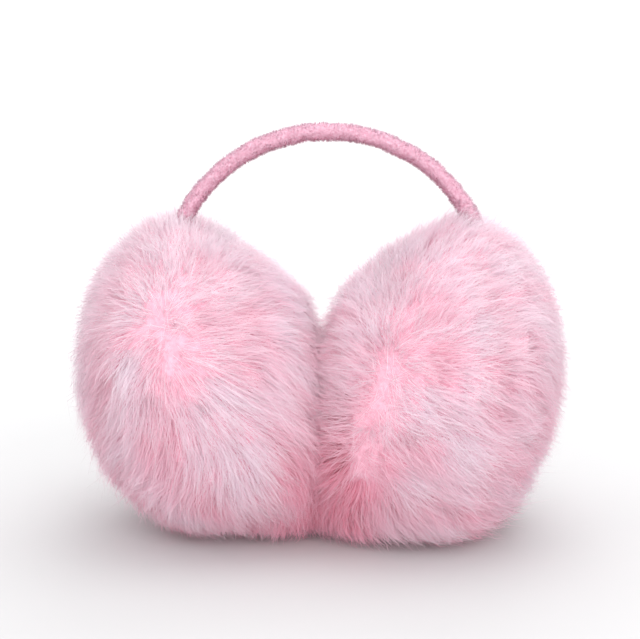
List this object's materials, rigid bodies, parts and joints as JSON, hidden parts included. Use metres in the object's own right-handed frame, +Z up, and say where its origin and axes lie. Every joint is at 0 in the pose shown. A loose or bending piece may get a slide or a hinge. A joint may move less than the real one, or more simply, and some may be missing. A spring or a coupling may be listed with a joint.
{
  "type": "fur earmuffs",
  "caption": "Round deep-pile faux-fur ear cups leaning together under an arched, velour-sleeved headband.",
  "frame": {"origin": "centre of the bounding box at its bottom, on the surface the two cups stand on", "axes": "+Z up through the top of the headband, X from ear to ear with +X to the right in the front view, -Y towards the front"},
  "size_m": [0.209, 0.1454, 0.17],
  "materials": {
    "band_velour": "short-pile velour sleeve, pale lilac pink",
    "cup_fur": "long silky faux fur, pink at the roots and paler at the tips",
    "pad_plush": "short plush, pink"
  },
  "bodies": {
    "root": {"headband": "band_velour", "left_fur_cup": "cup_fur", "left_ear_pad": "pad_plush", "right_fur_cup": "cup_fur", "right_ear_pad": "pad_plush"}
  },
  "joints": []
}
